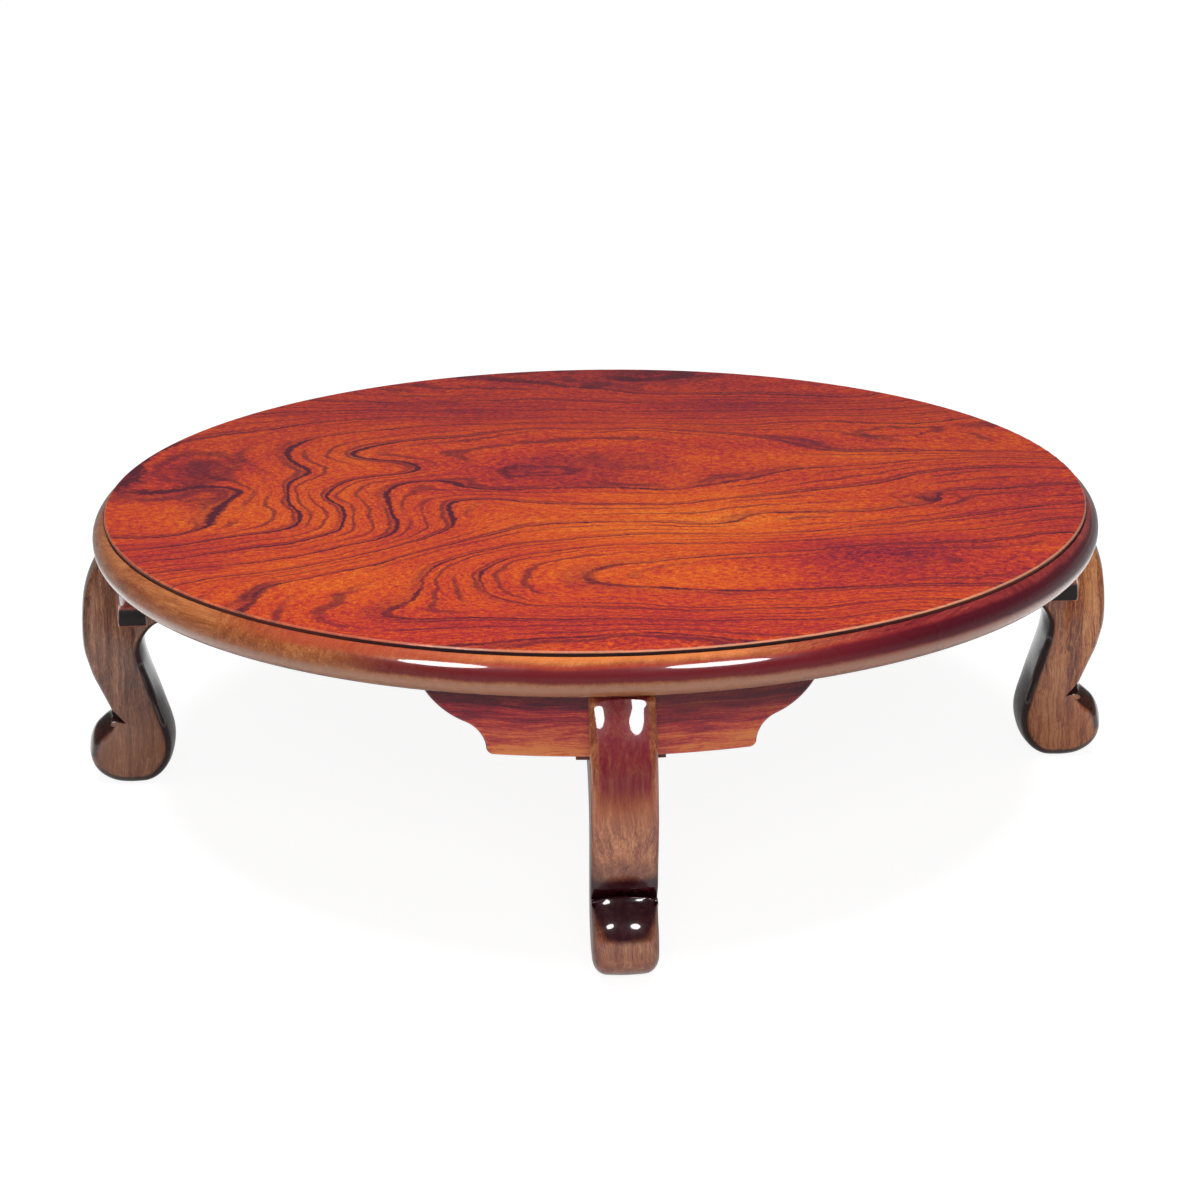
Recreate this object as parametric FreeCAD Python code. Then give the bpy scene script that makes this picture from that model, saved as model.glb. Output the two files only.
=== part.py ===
import FreeCAD, Part
import math
import os

# Low round folding table. Millimetres, +Z up, the floor at zero and the table's axis on Z.

# table top
top_diameter = 900.0
table_height = 268.0
top_thickness = 37.0
panel_thickness = 6.0
panel_border = 11.0
panel_rounding = 1.8
groove_width = 0.8
underside_thickness = 4.0
underside_border = 40.0
band_width = 50.0
rim_step = 4.0
rim_widest_drop = 21.5
rim_undercut = 11.5
rim_upper_bulge_shares = (0.75, 0.40)
rim_lower_bulge_shares = (0.70, 0.68)
band_piece_count = 4

# frame inside the table top
rail_width = 60.0
rib_width = 30.0
pad_depth = 95.0
pad_half_length = 100.0
pad_set_in = 5.0

# curved apron on each leg
apron_set_in = 15.0
apron_thickness = 23.0
apron_height = 50.2
apron_half_length = 151.5
apron_edge_rounding = 2.0
apron_end_shares = ((0.647, 0.0), (0.676, 0.031), (0.688, 0.124), (0.720, 0.353),
                    (0.790, 0.504), (0.906, 0.691), (1.0, 1.0))

# leg
leg_width = 52.0
leg_depth = 78.0
leg_back_set_in = 40.0
leg_edge_rounding = 6.0
knee_shares = ((0.397, 1.109), (0.597, 1.006), (0.726, 0.932), (0.810, 0.867), (0.869, 0.802),
               (0.904, 0.733), (0.923, 0.673), (0.928, 0.614), (0.921, 0.564), (0.885, 0.516),
               (0.840, 0.461), (0.792, 0.417), (0.728, 0.367))
neck_shares = ((0.674, 0.321), (0.658, 0.299), (0.671, 0.282), (0.710, 0.267))
toe_shares = ((0.795, 0.246), (0.879, 0.216), (0.933, 0.184), (0.959, 0.147), (0.959, 0.112),
              (0.926, 0.076), (0.853, 0.041), (0.712, 0.012), (0.513, 0.0))
heel_shares = ((0.231, 0.012), (0.096, 0.042), (0.008, 0.095), (-0.022, 0.158), (-0.005, 0.221),
               (0.041, 0.283), (0.092, 0.348), (0.146, 0.413), (0.199, 0.469), (0.238, 0.521),
               (0.254, 0.569), (0.213, 0.621), (0.097, 0.670))
shoulder_shares = ((-0.090, 0.704), (-0.346, 0.725))
crease_shares = ((0.481, 0.259), (0.731, 0.347), (0.731, 0.294))
foot_crown_height = 12.0
foot_flat_depth = 0.5
foot_crown_overlap = 0.5

# block between leg and apron, and the two blocks that carry the hinges
leg_block_width = 70.0
leg_block_depth = 32.0
leg_block_drop = 11.5
side_block_length = 60.0
side_block_height = 36.0
side_block_rounding = 6.0

# bolts that hold leg, apron and block together
bolt_diameter = 6.0
bolt_length = 60.0
bolt_head_diameter = 11.0
bolt_head_height = 3.2
bolt_socket_width = 3.0
bolt_socket_depth = 1.8
washer_diameter = 16.0
washer_thickness = 1.4
bolt_spacing = 28.0
bolt_drop = 25.0
counterbore_margin = 1.0

# hinges
hinge_axis_drop = 4.0
hinge_axis_set_in = 4.0
knuckle_radius = 3.2
pin_radius = 1.6
pin_head_radius = 2.6
pin_head_thickness = 1.0
hinge_width = 44.0
hinge_spacing = 130.0
leg_knuckle_length = 19.0
leaf_thickness = 1.5
leaf_reach = 32.0
knuckle_side_gap = 0.5
leaf_corner_rounding = 3.0

# screws
screw_radius = 1.75
screw_head_radius = 3.5
screw_head_height = 1.4
screw_length = 16.0
screw_slot_width = 0.9
screw_slot_depth = 0.7
screw_offset = 13.0
screw_drop = 18.0

# spring that clicks behind the leg block, and the rubber rests for the folded leg
spring_width = 24.0
spring_thickness = 1.2
spring_base_length = 46.0
spring_nose_radius = 2.6
spring_reach = 76.0
spring_dip = 1.8
spring_screw_spacing = 24.0
rest_radius = 8.0
rest_spacing = 48.0
rest_reach = 50.0
rest_rounding = 1.5

# clearances
glue_gap = 0.1
seat_gap = 0.3
pin_gap = 0.06
screw_gap = 0.1
rest_gap = 0.3
overrun = 5.0

leg_angles = {"front": -90.0, "right": 0.0, "back": 90.0, "left": 180.0}

top_radius = top_diameter / 2
underside_z = table_height - top_thickness
panel_radius = top_radius - panel_border
band_inner_radius = top_radius - band_width
underside_radius = top_radius - underside_border
leg_top_z = underside_z - seat_gap
apron_outer_radius = top_radius - apron_set_in
apron_inner_radius = apron_outer_radius - apron_thickness
apron_bottom_z = leg_top_z - apron_height
block_bottom_z = apron_bottom_z - leg_block_drop
block_inner_radius = apron_inner_radius - leg_block_depth
leg_back_radius = apron_outer_radius - leg_back_set_in
axis_radius = block_inner_radius - hinge_axis_set_in
axis_z = underside_z - hinge_axis_drop

Z = FreeCAD.Vector(0, 0, 1)
ORIGIN = FreeCAD.Vector(0, 0, 0)


def at(r, s, z):
    """A point of a leg's own frame: r outward, s along the rim, z up."""
    return FreeCAD.Vector(r, s, z)


def line(a, b):
    return Part.LineSegment(a, b).toShape()


def arc(a, middle, b):
    return Part.Arc(a, middle, b).toShape()


def curve(points):
    spline = Part.BSplineCurve()
    spline.interpolate(points)
    return spline.toShape()


def face(edges):
    return Part.Face(Part.Wire(Part.__sortEdges__(edges)))


def polygon(points):
    return Part.Face(Part.makePolygon(points + [points[0]]))


def box(low, high):
    size = high - low
    return Part.makeBox(size.x, size.y, size.z, low)


def ring(outer_radius, inner_radius, low_z, high_z):
    height = high_z - low_z
    outer = Part.makeCylinder(outer_radius, height, at(0, 0, low_z))
    return outer.cut(Part.makeCylinder(inner_radius, height, at(0, 0, low_z)))


def rounded(shape, radius, chosen):
    return shape.makeFillet(radius, [edge for edge in shape.Edges if chosen(edge)])


def turned(shape, angle):
    return shape.rotated(ORIGIN, Z, angle)


def joined(shapes):
    return shapes[0].fuse(shapes[1:]).removeSplitter() if len(shapes) > 1 else shapes[0]


def group(shapes):
    return Part.makeCompound(shapes) if len(shapes) > 1 else shapes[0]


def mirrored_pair(shape):
    return [shape, shape.mirror(ORIGIN, FreeCAD.Vector(0, 1, 0))]


def screw(tip_gap):
    """A countersunk wood screw along +X, its head's face at zero. tip_gap makes its hole."""
    head = screw_head_radius + tip_gap
    shank = screw_radius + tip_gap
    points = [at(0, 0, 0), at(0, 0, head), at(screw_head_height, 0, shank)]
    points += [at(screw_length - screw_head_radius, 0, shank), at(screw_length + tip_gap, 0, 0)]
    return polygon(points).revolve(ORIGIN, FreeCAD.Vector(1, 0, 0), 360)


def slotted_screw():
    half = screw_slot_width / 2
    reach = screw_head_radius + overrun
    slot = box(at(-overrun, -reach, -half), at(screw_slot_depth, reach, half))
    return screw(0).cut(slot)


def screw_into_leg(shape, s):
    """Places a screw or its hole where a leg-side leaf is fixed."""
    placed = shape.copy()
    placed.translate(at(block_inner_radius - leaf_thickness, s, axis_z - screw_drop))
    return placed


def screw_into_top(shape, r, s, z):
    placed = shape.rotated(ORIGIN, FreeCAD.Vector(0, 1, 0), -90)
    placed.translate(at(r, s, z))
    return placed


def hinge_screw_places():
    """Distances along the rim of the screws of both hinges."""
    half = hinge_spacing / 2
    return [side * half + step for side in (-1, 1) for step in (-screw_offset, screw_offset)]


def top_screw_places():
    """Radius, distance and height of the screws that go up into the table top."""
    leaf_z = underside_z - leaf_thickness
    places = [(axis_radius - screw_drop, s, leaf_z) for s in hinge_screw_places()]
    first = axis_radius - spring_reach + spring_base_length / 2
    for side in (-1, 1):
        r = first + side * spring_screw_spacing / 2
        places.append((r, 0.0, underside_z - spring_thickness))
    return places


def top_screw_holes():
    holes = []
    for angle in leg_angles.values():
        for r, s, z in top_screw_places():
            holes.append(turned(screw_into_top(screw(screw_gap), r, s, z), angle))
    return group(holes)


def rim_section():
    """Section of the edge band: bullnose outside, steps for panel and underside within."""
    groove_radius = panel_radius + groove_width
    rim_top = table_height - rim_step
    widest_z = table_height - rim_widest_drop
    foot_radius = top_radius - rim_undercut
    upper_r = groove_radius + (top_radius - groove_radius) * rim_upper_bulge_shares[0]
    upper_z = rim_top - (rim_top - widest_z) * rim_upper_bulge_shares[1]
    lower_r = foot_radius + rim_undercut * rim_lower_bulge_shares[0]
    lower_z = widest_z - (widest_z - underside_z) * rim_lower_bulge_shares[1]
    panel_seat = table_height - panel_thickness
    under_seat = underside_z + underside_thickness + glue_gap
    crown = at(groove_radius, 0, rim_top)
    widest = at(top_radius, 0, widest_z)
    foot = at(foot_radius, 0, underside_z)
    corners = [foot, at(underside_radius + glue_gap, 0, underside_z)]
    corners += [at(underside_radius + glue_gap, 0, under_seat), at(band_inner_radius, 0, under_seat)]
    corners += [at(band_inner_radius, 0, panel_seat), at(groove_radius, 0, panel_seat), crown]
    edges = [arc(crown, at(upper_r, 0, upper_z), widest), arc(widest, at(lower_r, 0, lower_z), foot)]
    edges += [line(a, b) for a, b in zip(corners, corners[1:])]
    return face(edges)


def edge_band_piece(number):
    """One quarter of the solid edge band, its ends halfway between two legs."""
    span = 360 / band_piece_count
    gap_angle = math.degrees(glue_gap / top_radius)
    piece = rim_section().revolve(ORIGIN, Z, span - gap_angle)
    return turned(piece, number * span - span / 2)


def top_panel():
    low = table_height - panel_thickness + glue_gap
    panel = Part.makeCylinder(panel_radius, table_height - low, at(0, 0, low))
    return rounded(panel, panel_rounding, lambda e: e.BoundBox.ZMin > table_height - panel_rounding)


def underside_panel():
    panel = Part.makeCylinder(underside_radius, underside_thickness, at(0, 0, underside_z))
    return panel.cut(top_screw_holes())


core_low_z = underside_z + underside_thickness + glue_gap
core_high_z = table_height - panel_thickness - glue_gap
core_radius = band_inner_radius - glue_gap


def core_part(low_r, high_r, low_s, high_s):
    bar = box(at(low_r, low_s, core_low_z), at(high_r, high_s, core_high_z))
    disc = Part.makeCylinder(core_radius, core_high_z - core_low_z, at(0, 0, core_low_z))
    return bar.common(disc)


def core_rail_long():
    half = rail_width / 2
    return core_part(-top_radius, top_radius, -half, half).cut(top_screw_holes())


def core_rails_short():
    half = rail_width / 2
    rails = []
    for angle in (leg_angles["front"], leg_angles["back"]):
        rail = turned(core_part(half + glue_gap, top_radius, -half, half), angle)
        rails.append(rail.cut(top_screw_holes()))
    return group(rails)


def core_pads():
    """Solid pads beside the rails, where the hinge screws bite."""
    half = rail_width / 2
    high = core_radius - pad_set_in
    pads = []
    for angle in leg_angles.values():
        pad = core_part(high - pad_depth, high, half + glue_gap, pad_half_length)
        pads += [turned(p, angle).cut(top_screw_holes()) for p in mirrored_pair(pad)]
    return group(pads)


def core_ribs():
    """Ribs halfway between the rails."""
    half = rib_width / 2
    start = (rail_width + rib_width) / 2 * math.sqrt(2) + glue_gap
    rib = core_part(start, top_radius, -half, half)
    half_step = 360 / len(leg_angles) / 2
    return group([turned(rib, angle + half_step) for angle in leg_angles.values()])


def bolt_places():
    return [(side * bolt_spacing / 2, leg_top_z - bolt_drop) for side in (-1, 1)]


def bolt_bores(radius):
    direction = FreeCAD.Vector(1, 0, 0)
    start = block_inner_radius - overrun
    tip = head_floor_radius() - washer_thickness + bolt_length
    length = tip + seat_gap - start
    return [Part.makeCylinder(radius, length, at(start, s, z), direction) for s, z in bolt_places()]


def head_floor_radius():
    """Radius at which the bolt's washer sits in the block's counterbore."""
    return block_inner_radius + bolt_head_height + washer_thickness + counterbore_margin


def leg_bolts():
    solids = []
    direction = FreeCAD.Vector(1, 0, 0)
    floor = head_floor_radius()
    for s, z in bolt_places():
        under_head = floor - washer_thickness
        shank = Part.makeCylinder(bolt_diameter / 2, bolt_length, at(under_head, s, z), direction)
        start = under_head - bolt_head_height
        head = Part.makeCylinder(bolt_head_diameter / 2, bolt_head_height, at(start, s, z), direction)
        half = bolt_socket_width / 2
        socket_end = start + bolt_socket_depth
        socket = box(at(start - overrun, s - half, z - half), at(socket_end, s + half, z + half))
        solids.append(head.fuse(shank).removeSplitter().cut(socket))
        seat = at(under_head, s, z)
        washer = Part.makeCylinder(washer_diameter / 2, washer_thickness, seat, direction)
        hole_radius = bolt_diameter / 2 + screw_gap
        hole = Part.makeCylinder(hole_radius, washer_thickness, seat, direction)
        solids.append(washer.cut(hole))
    return group(solids)


def leg_point(shares):
    depth_share, height_share = shares
    height = leg_top_z + foot_flat_depth
    return at(leg_back_radius + leg_depth * depth_share, 0, height * height_share - foot_flat_depth)


def leg_outline():
    """Side outline of the blank: knee, neck, scroll toe, heel and shoulder."""
    front_shares = knee_shares + neck_shares + toe_shares
    points = [leg_point(p) for p in front_shares + heel_shares + shoulder_shares]
    corner = at(points[-1].x, 0, points[0].z)
    return face([curve(points), line(points[-1], corner), line(corner, points[0])])


def foot_corner():
    """What is cut away below one side of the foot to crown it."""
    half = leg_width / 2 + foot_crown_overlap
    start = leg_back_radius - leg_depth
    low = -foot_flat_depth
    slant = math.sqrt(0.5)
    middle = at(start, half * slant, low + foot_crown_height * (1 - slant))
    crown_z = low + foot_crown_height
    corners = [at(start, half, crown_z), at(start, half + overrun, crown_z)]
    corners += [at(start, half + overrun, low - overrun), at(start, 0, low - overrun)]
    corners.append(at(start, 0, low))
    edges = [arc(corners[-1], middle, corners[0])]
    edges += [line(a, b) for a, b in zip(corners, corners[1:])]
    return face(edges).extrude(at(top_radius, 0, 0))


def crease_wedge():
    """The sharp cut between the shank and the scroll toe."""
    wedge = polygon([leg_point(p) for p in crease_shares]).extrude(at(0, leg_width * 2, 0))
    wedge.translate(at(0, -leg_width, 0))
    return wedge


def everything_above(z, outer_radius):
    return box(at(0, -top_radius, z), at(outer_radius, top_radius, table_height * 2))


def leg():
    """Board with rounded edges, notched at the top for the apron and the block."""
    half = leg_width / 2
    blank = leg_outline().extrude(at(0, leg_width, 0))
    blank.translate(at(0, -half, 0))

    def long_edge(edge):
        return edge.Curve.TypeId == "Part::GeomBSplineCurve" and edge.BoundBox.YLength < glue_gap

    body = rounded(blank, leg_edge_rounding, long_edge)
    cuts = [everything_above(leg_top_z, top_diameter)]
    cuts.append(everything_above(apron_bottom_z - glue_gap, apron_outer_radius + glue_gap))
    cuts.append(everything_above(block_bottom_z - glue_gap, apron_inner_radius))
    cuts.append(everything_above(-overrun, block_inner_radius + glue_gap))
    cuts += mirrored_pair(foot_corner())
    cuts.append(box(at(0, -top_radius, -overrun * 2), at(top_diameter, top_radius, 0)))
    cuts.append(crease_wedge())
    cuts += bolt_bores(bolt_diameter / 2 + pin_gap)
    for cut in cuts:
        body = body.cut(cut)
    return body


def apron_end_outline():
    """Front outline of the apron, with its ogee ends, as a prism along r."""
    places = [(apron_half_length * a, leg_top_z - apron_height * (1 - b)) for a, b in apron_end_shares]

    def side(sign):
        p = [at(0, sign * s, z) for s, z in places]
        return [arc(p[0], p[1], p[2]), arc(p[2], p[3], p[4]), arc(p[4], p[5], p[6])]

    s_low, z_low = places[0]
    s_high, z_high = places[-1]
    edges = side(1) + side(-1)
    edges.append(line(at(0, -s_low, z_low), at(0, s_low, z_low)))
    edges.append(line(at(0, -s_high, z_high), at(0, s_high, z_high)))
    return face(edges).extrude(at(top_radius, 0, 0))


def apron():
    blank = ring(apron_outer_radius, apron_inner_radius, apron_bottom_z, leg_top_z)
    board = blank.common(apron_end_outline())
    inside = leg_top_z - apron_edge_rounding

    def front_edge(edge):
        middle = edge.valueAt((edge.FirstParameter + edge.LastParameter) / 2)
        on_front = abs(math.hypot(middle.x, middle.y) - apron_outer_radius) < glue_gap
        ends = [math.hypot(v.Point.x, v.Point.y) for v in edge.Vertexes]
        return on_front and min(ends) > apron_outer_radius - glue_gap and middle.z < inside

    board = rounded(board, apron_edge_rounding, front_edge)
    return board.cut(group(bolt_bores(bolt_diameter / 2 + screw_gap)))


def leg_block():
    """Block behind the apron that ties leg and apron together."""
    half = leg_block_width / 2
    block = box(at(block_inner_radius, -half, block_bottom_z), at(apron_outer_radius, half, leg_top_z))
    block = block.common(Part.makeCylinder(apron_inner_radius - glue_gap, leg_top_z))
    direction = FreeCAD.Vector(1, 0, 0)
    start = block_inner_radius - overrun
    depth = head_floor_radius() - start
    radius = washer_diameter / 2 + screw_gap
    for s, z in bolt_places():
        block = block.cut(Part.makeCylinder(radius, depth, at(start, s, z), direction))
    return block.cut(group(bolt_bores(bolt_diameter / 2 + screw_gap)))


def side_blocks():
    """Two glued blocks behind the apron that carry the hinges."""
    low_s = leg_block_width / 2 + glue_gap
    low_z = leg_top_z - side_block_height
    high_s = low_s + side_block_length
    block = box(at(block_inner_radius, low_s, low_z), at(apron_outer_radius, high_s, leg_top_z))
    block = block.common(Part.makeCylinder(apron_inner_radius - glue_gap, leg_top_z))
    far = high_s - glue_gap

    def lower_end(edge):
        bounds = edge.BoundBox
        return bounds.ZMax < low_z + glue_gap and bounds.YMin > far

    block = rounded(block, side_block_rounding, lower_end)
    holes = [screw_into_leg(screw(screw_gap), s) for s in hinge_screw_places()]
    return group([b.cut(group(holes)) for b in mirrored_pair(block)])


def knuckle(center_s, length, bore_gap):
    """A rolled knuckle on the hinge axis and its bore, as two solids."""
    direction = FreeCAD.Vector(0, 1, 0)
    start = at(axis_radius, center_s - length / 2, axis_z)
    body = Part.makeCylinder(knuckle_radius, length, start, direction)
    bore = Part.makeCylinder(pin_radius + bore_gap, length, start, direction)
    return body, bore


def leg_leaf(center_s):
    """Hinge leaf on the block, with the middle knuckle."""
    half = hinge_width / 2
    inner = block_inner_radius - leaf_thickness
    low = axis_z - leaf_reach
    shoulder = axis_z - knuckle_radius - knuckle_side_gap * 2
    plate = box(at(inner, center_s - half, low), at(block_inner_radius, center_s + half, shoulder))
    plate = rounded(plate, leaf_corner_rounding, lambda e: e.BoundBox.YLength < glue_gap
                    and e.BoundBox.ZLength < glue_gap and e.BoundBox.ZMax < low + glue_gap)
    tongue_half = leg_knuckle_length / 2
    tongue = box(at(inner, center_s - tongue_half, low + leaf_corner_rounding),
                 at(block_inner_radius, center_s + tongue_half, axis_z))
    body, bore = knuckle(center_s, leg_knuckle_length, pin_gap)
    return joined([plate, tongue, body]).cut(bore)


def leg_leaves():
    holes = [screw_into_leg(screw(screw_gap), s) for s in hinge_screw_places()]
    leaf = leg_leaf(hinge_spacing / 2).cut(group(holes))
    return group(mirrored_pair(leaf))


def top_leaf(center_s):
    """Hinge leaf under the table top, with the two outer knuckles."""
    half = hinge_width / 2
    low_z = underside_z - leaf_thickness
    far = axis_radius - leaf_reach
    shoulder = axis_radius - knuckle_radius - knuckle_side_gap * 2
    plate = box(at(far, center_s - half, low_z), at(shoulder, center_s + half, underside_z))
    plate = rounded(plate, leaf_corner_rounding, lambda e: e.BoundBox.XMax < far + glue_gap
                    and e.BoundBox.ZLength > leaf_thickness / 2)
    length = (hinge_width - leg_knuckle_length) / 2 - knuckle_side_gap
    solids = [plate]
    bores = []
    for side in (-1, 1):
        middle = center_s + side * (half - length / 2)
        solids.append(box(at(far + leaf_corner_rounding, middle - length / 2, low_z),
                          at(axis_radius, middle + length / 2, underside_z)))
        body, bore = knuckle(middle, length, pin_gap)
        solids.append(body)
        bores.append(bore)
    return joined(solids).cut(group(bores))


def top_leaves():
    holes = [screw_into_top(screw(screw_gap), r, s, z) for r, s, z in top_screw_places()]
    leaf = top_leaf(hinge_spacing / 2).cut(group(holes))
    return group(mirrored_pair(leaf))


def hinge_pins():
    direction = FreeCAD.Vector(0, 1, 0)
    start = hinge_spacing / 2 - hinge_width / 2 - pin_gap
    length = hinge_width + pin_gap * 2
    pin = Part.makeCylinder(pin_radius, length, at(axis_radius, start, axis_z), direction)
    heads = []
    for low in (start - pin_head_thickness, start + length):
        place = at(axis_radius, low, axis_z)
        heads.append(Part.makeCylinder(pin_head_radius, pin_head_thickness, place, direction))
    return group(mirrored_pair(joined([pin] + heads)))


def leaf_screws():
    return group([screw_into_leg(slotted_screw(), s) for s in hinge_screw_places()])


def top_screws():
    return group([screw_into_top(slotted_screw(), r, s, z) for r, s, z in top_screw_places()])


def catch_spring():
    """Flat spring under the top: a screwed base, a dipped tongue and a rolled nose."""
    start = axis_radius - spring_reach
    base_end = start + spring_base_length
    nose_z = underside_z - hinge_axis_drop
    nose_r = axis_radius + seat_gap
    top_z = underside_z
    low = spring_thickness
    tongue_end = nose_r - spring_nose_radius / 2
    points = [at(start, 0, top_z), at(base_end, 0, top_z), at(tongue_end, 0, top_z - spring_dip)]
    points += [at(tongue_end, 0, top_z - spring_dip - low), at(base_end, 0, top_z - low)]
    points.append(at(start, 0, top_z - low))
    half = spring_width / 2
    strip = polygon(points).extrude(at(0, spring_width, 0))
    strip.translate(at(0, -half, 0))
    direction = FreeCAD.Vector(0, 1, 0)
    nose = Part.makeCylinder(spring_nose_radius, spring_width, at(nose_r, -half, nose_z), direction)
    hollow = spring_nose_radius - spring_thickness
    strip = strip.fuse(nose).removeSplitter()
    strip = strip.cut(Part.makeCylinder(hollow, spring_width, at(nose_r, -half, nose_z), direction))
    holes = [screw_into_top(screw(screw_gap), r, s, z) for r, s, z in top_screw_places()]
    return strip.cut(group(holes))


def fold_rests():
    """Rubber buttons that the folded leg block lies on."""
    low = axis_z - hinge_axis_set_in + rest_gap
    solids = []
    for angle in leg_angles.values():
        for side in (-1, 1):
            place = at(axis_radius - rest_reach, side * rest_spacing / 2, low)
            button = Part.makeCylinder(rest_radius, underside_z - low, place)
            button = rounded(button, rest_rounding, lambda e: e.BoundBox.ZMax < low + glue_gap)
            solids.append(turned(button, angle))
    return group(solids)


leg_pieces = {"leg": leg, "apron": apron, "leg_block": leg_block, "side_blocks": side_blocks,
              "leg_bolts": leg_bolts, "leg_leaves": leg_leaves, "hinge_pins": hinge_pins,
              "leaf_screws": leaf_screws, "top_leaves": top_leaves, "top_screws": top_screws,
              "catch_spring": catch_spring}

nodes = {"top_panel": top_panel(), "underside_panel": underside_panel()}
for number in range(band_piece_count):
    nodes["edge_band_" + str(number + 1)] = edge_band_piece(number)
nodes["core_rail_long"] = core_rail_long()
nodes["core_rails_short"] = core_rails_short()
nodes["core_pads"] = core_pads()
nodes["core_ribs"] = core_ribs()
nodes["fold_rests"] = fold_rests()
for piece, build in leg_pieces.items():
    solid = build()
    for side, angle in leg_angles.items():
        nodes[piece + "_" + side] = turned(solid, angle)

os.makedirs("parts", exist_ok=True)
for name, shape in nodes.items():
    shape.exportStep("parts/" + name + ".step")
    print(name, len(shape.Solids), shape.isValid(), round(shape.Volume))
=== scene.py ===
import bmesh
import bpy
import math
import numpy as np
from mathutils import Matrix, Vector


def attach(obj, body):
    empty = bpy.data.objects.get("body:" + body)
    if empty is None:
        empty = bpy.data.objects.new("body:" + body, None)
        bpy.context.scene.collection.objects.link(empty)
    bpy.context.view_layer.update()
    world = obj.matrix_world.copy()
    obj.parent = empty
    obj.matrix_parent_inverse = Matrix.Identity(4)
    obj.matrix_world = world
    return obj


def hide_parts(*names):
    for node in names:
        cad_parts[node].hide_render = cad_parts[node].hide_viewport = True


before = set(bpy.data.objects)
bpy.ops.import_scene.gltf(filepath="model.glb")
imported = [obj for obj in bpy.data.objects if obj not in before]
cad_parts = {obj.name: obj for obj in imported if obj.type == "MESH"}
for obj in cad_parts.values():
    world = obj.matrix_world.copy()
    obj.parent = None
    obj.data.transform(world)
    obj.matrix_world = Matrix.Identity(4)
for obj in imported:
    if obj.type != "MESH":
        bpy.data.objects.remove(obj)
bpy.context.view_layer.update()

# The camera stands in front of the front leg and a little above the table, turned a touch off
# the table's own axes. Place and lens were solved from the outlines of the rim and the feet.
photo_size = 1200
focal_pixels = 2737.3
camera_distance = 2.570
camera_elevation = math.radians(22.17)
camera_pitch = math.radians(18.80)
camera_yaw = math.radians(0.08)
camera_roll = math.radians(-0.74)
table_turn = math.radians(2.44)
scene = bpy.context.scene
scene.view_settings.view_transform = "Standard"

camera_data = bpy.data.cameras.new("studio_camera")
camera_data.sensor_width = 36.0
camera_data.lens = camera_data.sensor_width * focal_pixels / photo_size
camera = bpy.data.objects.new("studio_camera", camera_data)
scene.collection.objects.link(camera)
scene.camera = camera
forward = Vector((math.sin(camera_yaw) * math.cos(camera_pitch),
                  math.cos(camera_yaw) * math.cos(camera_pitch), -math.sin(camera_pitch)))
level_right = Vector((math.cos(camera_yaw), -math.sin(camera_yaw), 0))
level_up = level_right.cross(forward)
camera_right = level_right * math.cos(camera_roll) + level_up * math.sin(camera_roll)
camera_up = level_up * math.cos(camera_roll) - level_right * math.sin(camera_roll)
camera_axes = Matrix((camera_right, camera_up, -forward)).transposed().to_4x4()
camera_axes.translation = (0, -camera_distance * math.cos(camera_elevation),
                           camera_distance * math.sin(camera_elevation))
camera.matrix_world = Matrix.Rotation(-table_turn, 4, "Z") @ camera_axes

# The studio sweep is matt white paper under the table, wide enough to fill every view. It shows
# as plain white, keeps a light shadow under the table, and lights the table's underside.
def plug(tree, socket, value):
    """Sets a node's input to a plain value, or links another node's output to it."""
    if isinstance(value, bpy.types.NodeSocket):
        tree.links.new(value, socket)
    else:
        socket.default_value = value


def calc(tree, operation, *values, clamp=False):
    """One Math node on numbers or outputs."""
    made = tree.nodes.new("ShaderNodeMath")
    made.operation = operation
    made.use_clamp = clamp
    for socket, value in zip(made.inputs, values):
        plug(tree, socket, value)
    return made.outputs[0]


def product(tree, first, *others):
    """Several numbers or outputs multiplied together."""
    for value in others:
        first = calc(tree, "MULTIPLY", first, value)
    return first


def smooth_step(tree, value, low, high, at_low=0.0, at_high=1.0):
    """Goes softly from at_low to at_high while the value goes from low to high."""
    made = tree.nodes.new("ShaderNodeMapRange")
    made.interpolation_type = "SMOOTHSTEP"
    for socket, given in zip(made.inputs, (value, low, high, at_low, at_high)):
        plug(tree, socket, given)
    return made.outputs[0]


def vector_calc(tree, operation, *values):
    """One Vector Math node on vectors or outputs."""
    made = tree.nodes.new("ShaderNodeVectorMath")
    made.operation = operation
    for socket, value in zip(made.inputs, values):
        plug(tree, socket, value)
    return made.outputs["Value" if operation in ("DISTANCE", "LENGTH") else "Vector"]


def place(tree, scale=(1, 1, 1), turn=0.0):
    """A point's place on the table in millimetres, turned about the table's centre and scaled."""
    source = tree.nodes.new("ShaderNodeTexCoord").outputs["Object"]
    turned = tree.nodes.new("ShaderNodeVectorRotate")
    turned.rotation_type = "Z_AXIS"
    plug(tree, turned.inputs["Vector"], source)
    plug(tree, turned.inputs["Angle"], turn)
    return vector_calc(tree, "MULTIPLY", turned.outputs[0], [1000 * s for s in scale])


def empty_material(name):
    """A material that holds one Principled shader and its output."""
    material = bpy.data.materials.new(name)
    material.use_nodes = True
    return material, material.node_tree, material.node_tree.nodes["Principled BSDF"]


sweep_reach = 30.0
sweep_mesh = bpy.data.meshes.new("studio_floor")
sweep_mesh.from_pydata([(-sweep_reach, -sweep_reach, 0), (sweep_reach, -sweep_reach, 0),
                        (sweep_reach, sweep_reach, 0), (-sweep_reach, sweep_reach, 0)], [],
                       [(0, 1, 2, 3)])
sweep = bpy.data.objects.new("studio_floor", sweep_mesh)
scene.collection.objects.link(sweep)
sweep_material, sweep_tree, sweep_shader = empty_material("white_sweep")
sweep_mesh.materials.append(sweep_material)

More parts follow.
